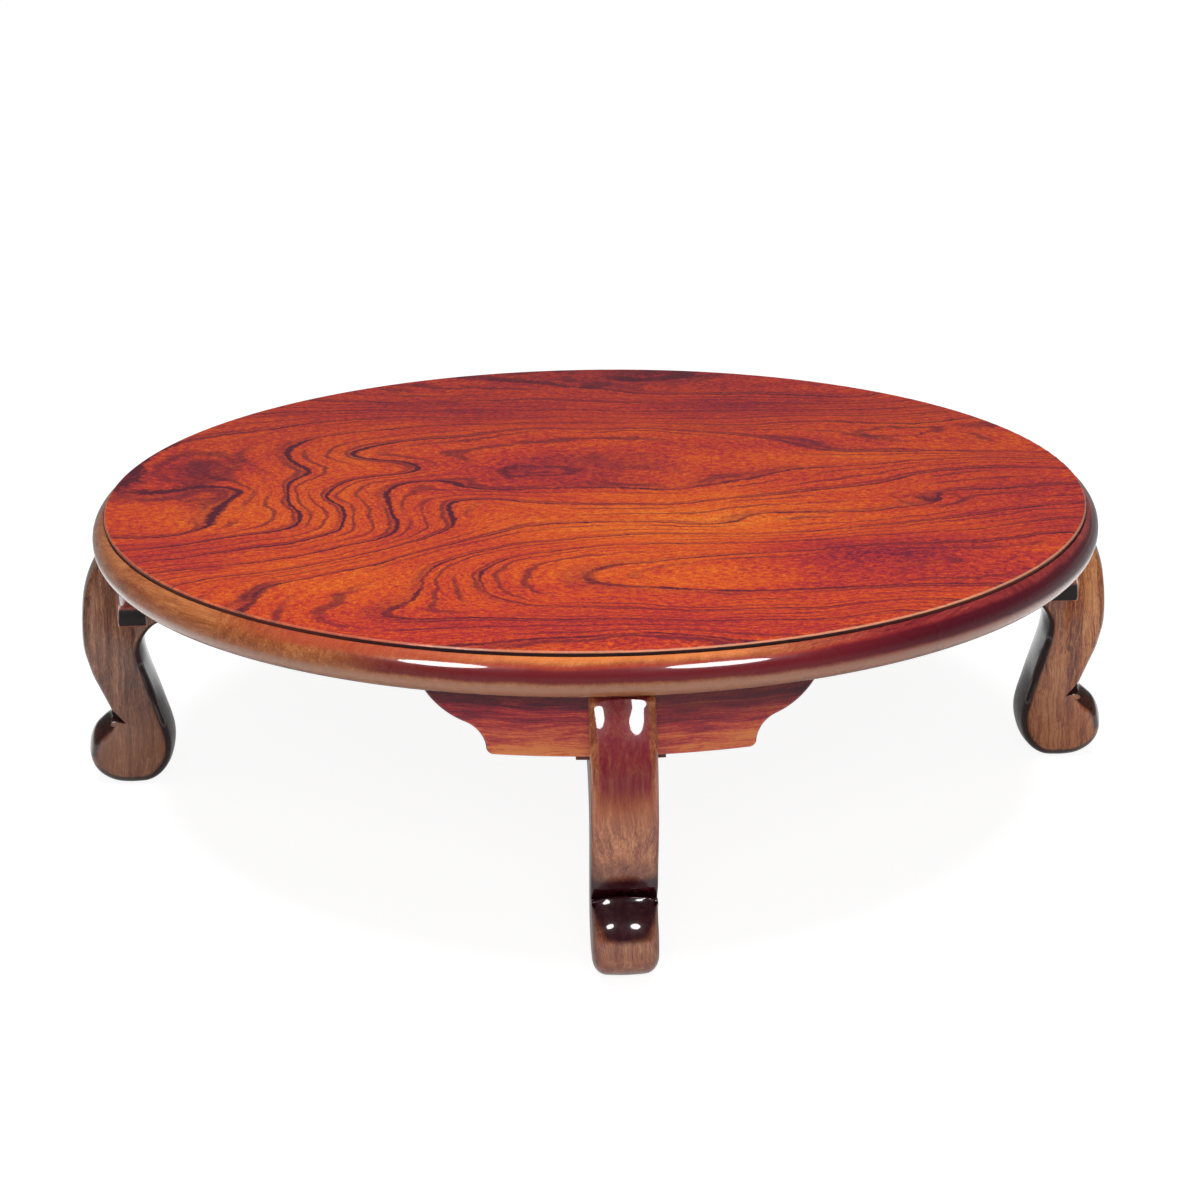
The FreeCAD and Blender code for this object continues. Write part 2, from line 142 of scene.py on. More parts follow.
# How bright the paper shows, by the distance from the table's centre in millimetres. In the
# lacquer it is darker close to the table, as a painted shadow of the table, and again far from
# it, as painted shade of paper that the lamps leave unlit.
near_glow, near_reach = 0.91, (500, 3000)
shade_share, shade_reach = 0.75, (400, 580)
unlit_share, unlit_reach = 0.85, (720, 1060)
seen_tone, lit_tone = 0.32, 0.80
ray = sweep_tree.nodes.new("ShaderNodeLightPath")
seen = calc(sweep_tree, "ADD", ray.outputs["Is Camera Ray"], ray.outputs["Is Glossy Ray"])
seen = calc(sweep_tree, "ADD", seen, ray.outputs["Is Transmission Ray"], clamp=True)
from_table = vector_calc(sweep_tree, "LENGTH", place(sweep_tree))
paper_glow = smooth_step(sweep_tree, from_table, *near_reach, near_glow, 1.0)
shaded = smooth_step(sweep_tree, from_table, *shade_reach, shade_share, 0.0)
unlit = smooth_step(sweep_tree, from_table, *unlit_reach, 0.0, unlit_share)
dimmed = product(sweep_tree, ray.outputs["Is Glossy Ray"],
                 calc(sweep_tree, "MAXIMUM", shaded, unlit))
paper_glow = product(sweep_tree, paper_glow, calc(sweep_tree, "SUBTRACT", 1.0, dimmed), seen)
paper_tone = calc(sweep_tree, "MULTIPLY_ADD", seen, seen_tone - lit_tone, lit_tone)
paper_colour = sweep_tree.nodes.new("ShaderNodeCombineColor")
for socket in paper_colour.inputs:
    plug(sweep_tree, socket, paper_tone)
plug(sweep_tree, sweep_shader.inputs["Base Color"], paper_colour.outputs[0])
sweep_shader.inputs["Roughness"].default_value = 1.0
sweep_shader.inputs["Specular IOR Level"].default_value = 0.0
sweep_shader.inputs["Emission Color"].default_value = (1, 1, 1, 1)
plug(sweep_tree, sweep_shader.inputs["Emission Strength"], paper_glow)

# The room is white wherever the camera looks past the sweep. Its light on the table is dim, so
# that the lacquer keeps its deep colour, and in the lacquer it is pale only along the horizon.
def split(tree, vector):
    """The three parts of a vector."""
    made = tree.nodes.new("ShaderNodeSeparateXYZ")
    plug(tree, made.inputs[0], vector)
    return made.outputs


room_dim = 0.10
horizon_share, horizon_height = 0.20, 0.06
room = bpy.data.worlds.new("studio_room")
scene.world = room
room.use_nodes = True
room_tree = room.node_tree
ray = room_tree.nodes.new("ShaderNodeLightPath")
direction = split(room_tree, room_tree.nodes.new("ShaderNodeTexCoord").outputs["Generated"])
horizon = smooth_step(room_tree, direction["Z"], 0.0, horizon_height, horizon_share, 0.0)
horizon = product(room_tree, ray.outputs["Is Glossy Ray"], horizon)
seen = calc(room_tree, "ADD", ray.outputs["Is Camera Ray"], ray.outputs["Is Transmission Ray"])
seen = calc(room_tree, "ADD", seen, horizon, clamp=True)
brightness = calc(room_tree, "MULTIPLY_ADD", seen, 1 - room_dim, room_dim)
backdrop = room_tree.nodes["Background"]
backdrop.inputs["Color"].default_value = (1, 1, 1, 1)
plug(room_tree, backdrop.inputs["Strength"], brightness)

# Two large soft lights hang over the table and a weak one fills the shadows from the camera's
# side. Only the two soft boxes in front show in the lacquer, as paired white streaks.
def soft_box(name, middle, aim, width, length, power, shape="RECTANGLE"):
    """A soft light that looks at a point of the table."""
    data = bpy.data.lights.new(name, "AREA")
    data.shape = shape
    data.size = width
    data.size_y = length
    data.energy = power
    lamp = bpy.data.objects.new(name, data)
    scene.collection.objects.link(lamp)
    lamp.location = Matrix.Rotation(-table_turn, 3, "Z") @ Vector(middle)
    lamp.rotation_euler = (Vector(aim) - lamp.location).to_track_quat("-Z", "Y").to_euler()
    return lamp


# Each lamp's name, its place and the point it looks at, its width and length in metres, and its
# power in watts.
overhead_lamps = (("overhead_left", (-0.60, -0.38, 2.1), (0, 0, 0.25), 0.62, 0.50, 17),
                  ("overhead_right", (0.60, -0.38, 2.1), (0, 0, 0.25), 0.62, 0.50, 17),
                  ("front_fill", (0.0, -3.2, 1.7), (0, 0, 0.15), 2.2, 1.6, 30))
streak_lamps = (("soft_box_left", (-1.14, -1.76, 1.55), (0, -0.45, 0.2), 0.72, 0.76, 30),
                ("soft_box_right", (0.92, -1.95, 1.52), (0, -0.45, 0.2), 0.84, 0.76, 36))
for lamp_facts in overhead_lamps:
    soft_box(*lamp_facts).visible_glossy = False
for lamp_facts in streak_lamps:
    soft_box(*lamp_facts, shape="ELLIPSE").visible_diffuse = False

# The table top is one sheet of flat-cut keyaki veneer under clear red-stained lacquer. The
# rings of the log are drawn as tracks, seen from straight above with the camera at the
# bottom: each has its ring number and its points in millimetres from the table's centre.
ring_tracks = (
    (0.0, ((99, 403), (63, 405), (45, 392), (9, 378), (-18, 364), (9, 345), (54, 333), (112, 327),
           (180, 324), (270, 310))),
    (1.0, ((-270, 320), (-225, 315), (-180, 306), (-104, 309), (-90, 318), (-45, 313), (0, 304),
           (112, 292), (180, 288), (248, 282))),
    (3.0, ((-382, 184), (-346, 201), (-315, 216), (-292, 228), (-252, 243), (-180, 251), (-81, 246),
           (45, 238), (112, 232), (270, 234))),
    (3.0, ((-430, 3), (-382, 7), (-346, 14), (-324, 0), (-318, -22), (-333, -45), (-346, -63),
           (-333, -86), (-338, -104), (-360, -126), (-387, -148))),
    (4.0, ((369, 219), (225, 215), (90, 212), (0, 216), (-68, 220), (-158, 219), (-202, 207),
           (-248, 196), (-266, 176), (-288, 148), (-292, 126), (-286, 104), (-266, 81), (-270, 54),
           (-277, 18), (-282, -9), (-270, -45), (-256, -76), (-255, -94), (-266, -112), (-315, -140),
           (-369, -158))),
    (5.0, ((418, 97), (360, 102), (292, 106), (216, 112), (198, 130), (180, 144), (130, 171),
           (104, 184), (54, 196), (0, 202), (-54, 207), (-90, 198), (-122, 180), (-158, 166),
           (-202, 151), (-236, 133), (-216, 112), (-184, 90), (-156, 70), (-180, 54), (-216, 32),
           (-236, 14), (-234, -18), (-230, -45), (-225, -72), (-218, -94), (-223, -112), (-234, -140),
           (-274, -164), (-315, -182), (-360, -198))),
    (6.0, ((428, 68), (382, 72), (324, 75), (288, 70), (243, 58), (198, 52), (184, 45), (148, 22),
           (108, 12), (76, -9), (45, -18), (0, -16), (-54, -11), (-99, 0), (-135, 16), (-162, 25),
           (-180, 18), (-195, -4), (-194, -22), (-180, -45), (-176, -72), (-173, -104), (-169, -126),
           (-180, -141), (-225, -176), (-270, -202), (-315, -218))),
    (7.0, ((414, 50), (374, 57), (342, 50), (320, 32), (288, 18), (252, -2), (198, -18), (171, -32),
           (122, -45), (0, -41), (-54, -38), (-108, -38), (-122, -45), (-129, -72), (-126, -99),
           (-130, -126), (-135, -141), (-166, -171), (-212, -202), (-266, -234), (-315, -248))),
    (8.0, ((432, -14), (405, -15), (369, -24), (315, -32), (302, -40), (297, -63), (288, -76),
           (238, -86), (194, -86), (148, -90), (112, -104), (104, -117), (63, -119), (36, -110),
           (0, -104), (-45, -117), (-72, -135), (-104, -153), (-135, -176), (-162, -202),
           (-189, -225), (-212, -238), (-234, -248), (-256, -266), (-268, -288), (-279, -315))),
    (8.0, ((-122, -423), (-45, -410), (45, -400))),
    (9.0, ((234, -130), (194, -141), (158, -153), (90, -150), (9, -148), (-36, -159), (-90, -180),
           (-122, -207), (-135, -238), (-140, -279), (-148, -310), (-160, -333), (-158, -351),
           (-135, -362), (-68, -357), (22, -364), (144, -369), (189, -364), (238, -356))),
    (10.0, ((324, -148), (135, -166), (68, -171), (9, -177), (-36, -191), (-72, -212), (-90, -230),
           (-94, -252), (-90, -292), (-76, -315), (-45, -328), (0, -339), (68, -342), (126, -348),
           (180, -342), (234, -330), (279, -326))),
    (11.0, ((392, -159), (315, -173), (238, -184), (202, -191), (158, -202), (90, -213), (45, -222),
           (9, -230), (-4, -248), (0, -270), (22, -285), (68, -292), (153, -297), (225, -290),
           (315, -290))),
    (11.5, ((90, -252), (180, -243), (270, -238))),
    (5.6, ((36, 153), (-54, 144), (108, 117), (-126, 117), (144, 81))),
    (5.9, ((-18, 90), (54, 72), (-72, 63), (0, 45))),)
ring_softening = 25.0
ring_squeeze = 1.6
ring_centre_spacing = 46.0
ring_smoothing = 0.4
track_points = np.array([(x, y * ring_squeeze) for _, track in ring_tracks for x, y in track])
track_rings = np.array([ring for ring, track in ring_tracks for _ in track])
ring_centres = []
for point in track_points:
    if all(np.hypot(*(point - other)) > ring_centre_spacing for other in ring_centres):
        ring_centres.append(point)
ring_centres = np.array(ring_centres)
reach = np.sqrt(((track_points[:, None] - ring_centres[None]) ** 2).sum(2) + ring_softening ** 2)
reach = np.column_stack([reach, np.ones(len(track_points))])
ring_weights = np.linalg.solve(reach.T @ reach + ring_smoothing * np.eye(len(ring_centres) + 1),
                               reach.T @ track_rings)


def stain(red, green, blue):
    """A colour given as it looks on a screen, from 0 to 255."""
    shares = [c / 255 for c in (red, green, blue)]
    return [c / 12.92 if c < 0.04045 else ((c + 0.055) / 1.055) ** 2.4 for c in shares] + [1]


def noise(tree, where, size, detail=2.0, roughness=0.5, colour=False):
    """Soft noise from 0 to 1 whose lumps are about size millimetres across."""
    made = tree.nodes.new("ShaderNodeTexNoise")
    plug(tree, made.inputs["Vector"], where)
    plug(tree, made.inputs["Scale"], 1 / size)
    plug(tree, made.inputs["Detail"], detail)
    plug(tree, made.inputs["Roughness"], roughness)
    return made.outputs["Color" if colour else "Fac"]


def drawn_out(tree, where, squeeze, size, detail, roughness):
    """Soft noise drawn out along the first axis, as the fibres of wood are."""
    squeezed = vector_calc(tree, "MULTIPLY", where, (squeeze, 1, 1))
    return noise(tree, squeezed, size, detail, roughness)


def wander(tree, where, size, amount, detail=2.0):
    """Moves a place about by up to amount millimetres, in waves of the given size."""
    shift = noise(tree, where, size, detail, colour=True)
    shift = vector_calc(tree, "SUBTRACT", shift, (0.5, 0.5, 0.5))
    shift = vector_calc(tree, "MULTIPLY", shift, [2 * amount] * 3)
    return vector_calc(tree, "ADD", where, shift)


def varied(tree, value, pattern, amount, middle=0.5):
    """Raises a value where a pattern is over its middle, and lowers it where it is under."""
    return calc(tree, "MULTIPLY_ADD", calc(tree, "SUBTRACT", pattern, middle), amount, value)


def joined(tree, x, y, z):
    """A vector from three numbers or outputs."""
    made = tree.nodes.new("ShaderNodeCombineXYZ")
    for socket, value in zip(made.inputs, (x, y, z)):
        plug(tree, socket, value)
    return made.outputs[0]


def turned(tree, where, angle):
    """A place turned about the table's axis by an angle in degrees."""
    made = tree.nodes.new("ShaderNodeVectorRotate")
    made.rotation_type = "Z_AXIS"
    plug(tree, made.inputs["Vector"], where)
    plug(tree, made.inputs["Angle"], math.radians(angle))
    return made.outputs[0]


def stained(tree, factor, first, second, way="MIX"):
    """Mixes or multiplies two colours."""
    made = tree.nodes.new("ShaderNodeMix")
    made.data_type = "RGBA"
    made.blend_type = way
    plug(tree, made.inputs["Factor"], factor)
    plug(tree, made.inputs["A"], first)
    plug(tree, made.inputs["B"], second)
    return made.outputs["Result"]


def colour_run(tree, value, stops):
    """Turns a number into a colour by a run of (place, colour) stops."""
    made = tree.nodes.new("ShaderNodeValToRGB")
    run = made.color_ramp
    while len(run.elements) < len(stops):
        run.elements.new(0.5)
    for element, (at, colour) in zip(run.elements, stops):
        element.position = at
        element.color = colour
    plug(tree, made.inputs[0], value)
    return made.outputs[0]


def felt(tree, shader, pattern, strength, depth):
    """Lets a pattern be just felt in the surface, at a depth in metres."""
    made = tree.nodes.new("ShaderNodeBump")
    made.inputs["Strength"].default_value = strength
    made.inputs["Distance"].default_value = depth
    plug(tree, made.inputs["Height"], pattern)
    plug(tree, shader.inputs["Normal"], made.outputs[0])


def finish_node(name, material):
    """Gives a CAD node one material."""
    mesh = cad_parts[name].data
    mesh.materials.clear()
    mesh.materials.append(material)


veneer, tree, shader = empty_material("keyaki_veneer")
flat = place(tree, (1, 1, 0), table_turn)
drifting = wander(tree, wander(tree, flat, 55, 5.0, 1.0), 9, 1.6, 2.0)

# Ring number at every point of the sheet.
squeezed = vector_calc(tree, "MULTIPLY", drifting, (1, ring_squeeze, 0))
squeezed = vector_calc(tree, "ADD", squeezed, (0, 0, ring_softening))
ring = float(ring_weights[-1])
for centre, weight in zip(ring_centres, ring_weights):
    away = vector_calc(tree, "DISTANCE", squeezed, (float(centre[0]), float(centre[1]), 0))
    ring = calc(tree, "MULTIPLY_ADD", away, float(weight), ring)

# Cloudy changes of stain over the sheet: patches of amber (positive) and maroon (negative),
# each with its middle, half widths and strength.
stain_patches = (
    (70, -80, 190, 75, 0.26), (90, -150, 170, 60, 0.18), (60, -245, 130, 60, 0.20),
    (-270, -60, 90, 140, 0.14), (-350, -70, 60, 60, 0.12), (-225, 125, 70, 60, 0.12),
    (240, 90, 110, 35, 0.16), (-215, -255, 120, 90, 0.16), (40, 60, 110, 45, 0.06),
    (-50, 52, 100, 75, -0.26), (250, -230, 120, 70, -0.24), (215, -180, 110, 50, -0.14),
    (-40, -385, 260, 45, -0.12), (60, 270, 280, 55, -0.12), (-170, 290, 170, 60, -0.16),
    (180, 310, 160, 60, -0.12), (-380, 60, 70, 110, -0.14), (400, -60, 80, 120, -0.14),
    (-330, -180, 110, 50, -0.12), (0, 390, 300, 50, -0.16), (160, 135, 120, 40, -0.10),
)
patch_fade = 1.5
tone = 0.52
patchy = wander(tree, flat, 70, 26, 3.0)
for x, y, half_x, half_y, strength in stain_patches:
    inside = vector_calc(tree, "SUBTRACT", patchy, (x, y, 0))
    inside = vector_calc(tree, "MULTIPLY", inside,
                         (1 / (patch_fade * half_x), 1 / (patch_fade * half_y), 0))
    near = smooth_step(tree, vector_calc(tree, "LENGTH", inside), 0.0, 1.0, strength, 0.0)
    tone = calc(tree, "ADD", near, tone)
tone = varied(tree, tone, drawn_out(tree, flat, 0.45, 38, 4.0, 0.6), 0.30)

# Fine pores run in dashes along the rings, with a shimmer across them.
def along_rings(ring_scale, place_scale):
    """A place whose noise runs in lines along the rings."""
    spread = vector_calc(tree, "MULTIPLY", flat, (place_scale, place_scale, 0))
    return vector_calc(tree, "ADD", spread, joined(tree, 0, 0, product(tree, ring, ring_scale)))


dashes = noise(tree, along_rings(16.0, 0.16), 1.0, 2.0, 0.6)
speckle = drawn_out(tree, flat, 0.6, 2.4, 2.0, 0.7)
pores = calc(tree, "MULTIPLY_ADD", speckle, 0.55, product(tree, dashes, 0.75))
tone = varied(tree, tone, pores, 1.35, 0.65)
threads = noise(tree, along_rings(5.0, 0.012), 1.0, 3.0, 0.65)
tone = varied(tree, tone, threads, 0.45)
wood = colour_run(tree, tone, (
    (0.06, stain(118, 24, 52)), (0.27, stain(170, 40, 50)), (0.46, stain(201, 58, 40)),
    (0.62, stain(218, 80, 30)), (0.82, stain(232, 102, 28)), (1.0, stain(242, 130, 40))))

# Each ring ends in a dark line of late wood: sharp on one side, fading on the other. It is
# wide where the sheet cuts the ring slantwise, on the left, and elsewhere fine.
broad_middle, broad_half = (-250, -20, 0), (200, 210)
slantwise = vector_calc(tree, "SUBTRACT", flat, broad_middle)
slantwise = vector_calc(tree, "MULTIPLY", slantwise, (1 / broad_half[0], 1 / broad_half[1], 0))
broad = smooth_step(tree, vector_calc(tree, "LENGTH", slantwise), 0.45, 1.15, 1.0, 0.0)
unevenness = noise(tree, flat, 34, 2.0, 0.5)
line_width = product(tree, calc(tree, "MULTIPLY_ADD", broad, 0.018, 0.036),
                     calc(tree, "MULTIPLY_ADD", unevenness, 1.3, 0.35))
line_ring = varied(tree, ring, noise(tree, flat, 7.0, 3.0, 0.65), 0.11)
from_line = calc(tree, "PINGPONG", line_ring, 0.5)
line = smooth_step(tree, calc(tree, "DIVIDE", from_line, line_width), 0.35, 1.25, 1.0, 0.0)
depth = calc(tree, "MULTIPLY_ADD", broad, 0.35, unevenness)
line = product(tree, line, smooth_step(tree, depth, 0.30, 0.72, 0.55, 1.0))
shade = smooth_step(tree, calc(tree, "FRACT", line_ring), 0.74, 1.0, 0.0, 0.34)
wood = stained(tree, shade, wood, stain(120, 34, 50))

# Between two of them run fainter, finer lines of the same kind.
fine_lines_per_ring = 3.0
fine_ring = calc(tree, "MULTIPLY_ADD", unevenness, 0.22, line_ring)
fine_ring = product(tree, fine_ring, fine_lines_per_ring)
fine = smooth_step(tree, calc(tree, "PINGPONG", fine_ring, 0.5), 0.05, 0.17, 1.0, 0.0)
fine_gate = noise(tree, along_rings(1.7, 0.009), 1.0, 2.0, 0.5)
fine_gate = calc(tree, "MULTIPLY_ADD", broad, 0.07, fine_gate)
fine = product(tree, fine, smooth_step(tree, fine_gate, 0.38, 0.58, 0.0, 0.70))
wood = stained(tree, fine, wood, stain(112, 30, 46))
wood = stained(tree, line, wood, stain(92, 20, 42))

# Knots and dark marks: middle, half widths, turn in degrees, whether it is an outline only,
# and strength.
marks = ((-366, 72, 30, 44, 10, False, 0.55), (-370, 78, 36, 52, 10, True, 0.55),
         (-360, 70, 18, 26, 10, True, 0.45),
         (-53, 54, 34, 18, 0, True, 0.72), (-50, 50, 17, 4, 0, False, 0.55),
         (296, 176, 42, 16, 8, True, 0.62), (368, 150, 28, 5, -60, False, 0.55),
         (297, -50, 12, 12, 0, False, 0.80), (300, -54, 26, 20, 0, True, 0.30),
         (-276, -288, 8, 28, -20, False, 0.60), (4, 370, 22, 15, 30, False, 0.66),
         (80, 402, 60, 9, 8, False, 0.55), (-205, 362, 26, 9, -30, False, 0.5))
ragged = wander(tree, wander(tree, flat, 24, 13, 2.0), 6, 3.0, 2.0)
for x, y, half_x, half_y, turn, hollow, strength in marks:
    inside = turned(tree, vector_calc(tree, "SUBTRACT", ragged, (x, y, 0)), -turn)
    inside = vector_calc(tree, "MULTIPLY", inside, (1 / half_x, 1 / half_y, 0))
    away = vector_calc(tree, "LENGTH", inside)
    if hollow:
        away = calc(tree, "ABSOLUTE", calc(tree, "SUBTRACT", away, 1.0))
        mark = smooth_step(tree, away, 0.06, 0.24, strength, 0.0)
    else:
        mark = smooth_step(tree, away, 0.55, 1.15, strength, 0.0)
    wood = stained(tree, mark, wood, stain(96, 22, 44))

# Fine light and dark flecks. A painted highlight lies along the sheet's eased edge, stronger
# towards the right, and the panel below it, seen down in the groove, is painted nearly black as
# painted shade.
edge_highlight_reach = (437.1, 437.7)
groove_shade_reach = (266.9, 266.2)
flecks = noise(tree, along_rings(34.0, 0.5), 1.0, 2.0, 0.7)
flecks = calc(tree, "MULTIPLY_ADD", flecks, 1.7, 0.18)
wood = stained(tree, 1.0, wood, flecks, "MULTIPLY")
spot = split(tree, place(tree))
# Painted highlight on the sheet's eased edge, stronger towards the right.
edge_highlight = product(tree, smooth_step(tree, vector_calc(tree, "LENGTH", flat), *edge_highlight_reach),
                smooth_step(tree, spot["X"], -260, 60, 0.25, 0.70))
wood = stained(tree, edge_highlight, wood, stain(242, 176, 138))
# Painted shade in the groove: nearly black in the middle, browner to the left and right.
groove_shade = smooth_step(tree, calc(tree, "ABSOLUTE", spot["X"]), 120, 300)
groove_shade = stained(tree, groove_shade, stain(44, 12, 18), stain(92, 38, 28))
wood = stained(tree, smooth_step(tree, spot["Z"], *groove_shade_reach), wood, groove_shade)
plug(tree, shader.inputs["Base Color"], wood)

# The lacquer lies over the stain like glass, with the pores just felt in it.
sheen = noise(tree, flat, 60, 2.0, 0.5)
plug(tree, shader.inputs["Roughness"], smooth_step(tree, sheen, 0.3, 0.7, 0.10, 0.16))
shader.inputs["Specular IOR Level"].default_value = 0.35
felt(tree, shader, speckle, 0.06, 0.0003)
finish_node("top_panel", veneer)

# The rim is four curved pieces of solid keyaki glued round the edge of the top and turned to
# a soft bead, stained red-brown and lacquered. The grain runs straight through each piece.
def straight_grain(tree, where, tone, tones, figure=1.0):
    """Colour, tone and pore height of wood whose grain runs along the first axis of where."""
    bent = wander(tree, where, 90, 6.0, 1.0)
    pores = drawn_out(tree, where, 0.14, 0.55, 2.0, 0.7)
    tone = varied(tree, tone, drawn_out(tree, bent, 0.05, 6.0, 3.0, 0.6), 0.85 * figure)
    tone = varied(tree, tone, drawn_out(tree, bent, 0.03, 1.1, 2.0, 0.6), 0.75 * figure)
    tone = varied(tree, tone, pores, 0.55 * figure)
    return colour_run(tree, tone, tones), tone, pores


def lacquered(tree, shader, colour, pores, coat=1.0, roughness=0.22):
    """Stained wood under a clear glossy coat."""
    plug(tree, shader.inputs["Base Color"], colour)
    worn = noise(tree, place(tree), 45, 3.0, 0.6)
    dullness = smooth_step(tree, worn, 0.3, 0.7, roughness, roughness + 0.10)
    plug(tree, shader.inputs["Roughness"], dullness)
    shader.inputs["Specular IOR Level"].default_value = 0.12
    shader.inputs["Coat Weight"].default_value = coat
    shader.inputs["Coat Roughness"].default_value = 0.045
    shader.inputs["Coat IOR"].default_value = 1.5
    felt(tree, shader, pores, 0.12, 0.0003)


def turned_away(tree, where, angle, offset=(0, 0, 0)):
    """The same place with the angle (degrees) turned to the first axis, then shifted."""
    return vector_calc(tree, "ADD", turned(tree, where, -angle), offset)


def between(tree, value, rise, fall):
    """One from the end of the rise to the start of the fall, and nothing outside them."""
    return product(tree, smooth_step(tree, value, *rise), smooth_step(tree, value, *fall, 1.0, 0.0))


rim_pieces = 4
rim_gold = ((0.05, stain(110, 46, 30)), (0.40, stain(178, 96, 54)), (0.70, stain(212, 128, 74)),
            (1.0, stain(236, 168, 104)))
rim_red = ((0.05, stain(84, 18, 28)), (0.40, stain(140, 40, 46)), (0.70, stain(176, 64, 58)),
           (1.0, stain(216, 116, 86)))
for number in range(rim_pieces):
    rim_wood, tree, shader = empty_material(f"rim_wood_{number + 1}")
    here = place(tree)
    middle_angle = 360 / rim_pieces * (number + 0.5)
    lengthways = turned_away(tree, here, middle_angle + 90, (57 * number, 31 * number, 13 * number))
    tone = varied(tree, 0.50, drawn_out(tree, lengthways, 0.5, 80, 2.0, 0.5), 0.6)
    gold, tone, pores = straight_grain(tree, lengthways, tone, rim_gold, 1.2)
    red = colour_run(tree, tone, rim_red)

    # Places across and along the table and up from the floor, all in millimetres. The left of
    # the rim is golden and the right red, with a painted highlight on its upper edge and a painted
    # reflection of the floor, tan, low down on the front.
    across, along, height = split(tree, wander(tree, here, 50, 2.5, 2.0))
    colour = stained(tree, smooth_step(tree, across, 20, 230), gold, red)
    # Painted highlight along the bead's upper edge at the front.
    bead_highlight = product(tree, smooth_step(tree, height, 259, 263, 0.0, 0.7),
                        between(tree, across, (-190, -60), (60, 150)))
    colour = stained(tree, bead_highlight, colour, stain(248, 140, 70))
    upper_red = product(tree, smooth_step(tree, height, 254, 259, 0.0, 0.7),
                        between(tree, across, (-330, -240), (-160, -60)))
    colour = stained(tree, upper_red, colour, stain(190, 66, 48))
    # Painted reflection of the white floor: tan low down on the front half of the rim.
    floor_reflection = product(tree, smooth_step(tree, height, 247, 242),
                        smooth_step(tree, along, 60, -60, 0.0, 0.8))
    colour = stained(tree, floor_reflection, colour, stain(176, 118, 84))
    warm_red = product(tree, between(tree, height, (245, 250), (258, 261)),
                       smooth_step(tree, across, -170, -90, 0.0, 0.75))
    colour = stained(tree, warm_red, colour, stain(182, 48, 44))

    # A purple band of painted shade runs round the bead, lower towards the right and strongest
    # at the front.
    sunk = calc(tree, "MULTIPLY_ADD", calc(tree, "MAXIMUM", across, 0), -0.010, height)
    bead_shade = product(tree, smooth_step(tree, height, 243.5, 247.5),
                   smooth_step(tree, sunk, 258.5, 255),
                   smooth_step(tree, across, -250, -170, 0.0, 0.90),
                   smooth_step(tree, along, -60, 60, 1.0, 0.3))
    shade_purple = smooth_step(tree, across, 120, 280)
    shade_purple = stained(tree, shade_purple, stain(124, 26, 40), stain(82, 12, 34))
    colour = stained(tree, bead_shade, colour, shade_purple)
    lacquered(tree, shader, colour, pores)
    finish_node(f"edge_band_{number + 1}", rim_wood)

# Each leg is sawn from one board: a bowed knee, a waist and a scroll toe curled up to a sharp
# crease. Knee and toe are crowned across, the sole is rounded, and the top is notched.
leg_sides = {"front": -90, "right": 0, "back": 90, "left": 180}
leg_half = 26.0

# Distance from the table's centre and height of the outline's points, then how far the board is
# crowned, drawn in like a ball and rounded at its edges there.
knee_line = ((443.5, 230.7, 5, 0, 4), (453.8, 215, 6, 0, 5), (461.0, 200, 6, 0, 5),
             (465.6, 185, 5, 0, 5), (468.3, 169, 5, 0, 5), (469.6, 155, 5, 0, 5),
             (470.0, 141, 5, 0, 5), (469.3, 130, 5, 0, 5), (466.8, 119, 5, 0, 5),
             (463.2, 106, 5, 0, 5), (459.0, 96, 5, 0, 5), (453.2, 84.4, 4, 0, 4),
             (447.0, 74.5, 2, 0, 2))
crease_line = ((443.0, 71.0, 1, 0, 1), (438.0, 66.5, 0, 0, 1), (433.0, 61.3, 0, 0, 0.5),
               (440.0, 66.0, 0, 3, 1))
toe_line = ((446.5, 68.4, 1, 7, 2), (450.5, 64.8, 1, 11, 2), (457.0, 59.6, 1, 14, 3),
            (464.2, 52.6, 1, 13, 4), (468.6, 44.0, 1, 12, 5), (470.3, 35.0, 1, 10, 6),
            (470.4, 26.5, 1, 8, 7), (467.5, 17.8, 1, 6, 8), (462.0, 10.8, 0, 5, 9),
            (455.0, 5.4, 0, 4, 10), (447.0, 1.8, 0, 3, 11), (438.0, 0.2, 0, 3, 11),
            (428.0, 0.0, 0, 3, 11), (416.0, 1.5, 0, 3, 10), (405.5, 7.0, 1, 3, 9),
            (397.5, 16.5, 2, 2, 8), (393.3, 29.0, 2, 1, 7), (392.2, 42.0, 3, 0, 7),
            (394.2, 54.0, 3, 0, 7), (398.2, 68.0, 3, 0, 7), (402.2, 82.0, 3, 0, 7),
            (406.8, 97.0, 3, 0, 7), (410.8, 110.0, 3, 0, 6), (413.5, 121.0, 3, 0, 6),
            (414.3, 131.0, 3, 0, 5), (411.3, 142.5, 2, 0, 4), (403.0, 153.5, 1, 0, 3),
            (391.0, 160.5, 0, 0, 2), (380.3, 164.0, 0, 0, 1))
notch_line = ((380.3, 168.9), (412.0, 168.9), (412.0, 180.4), (435.1, 180.4), (435.1, 230.7))


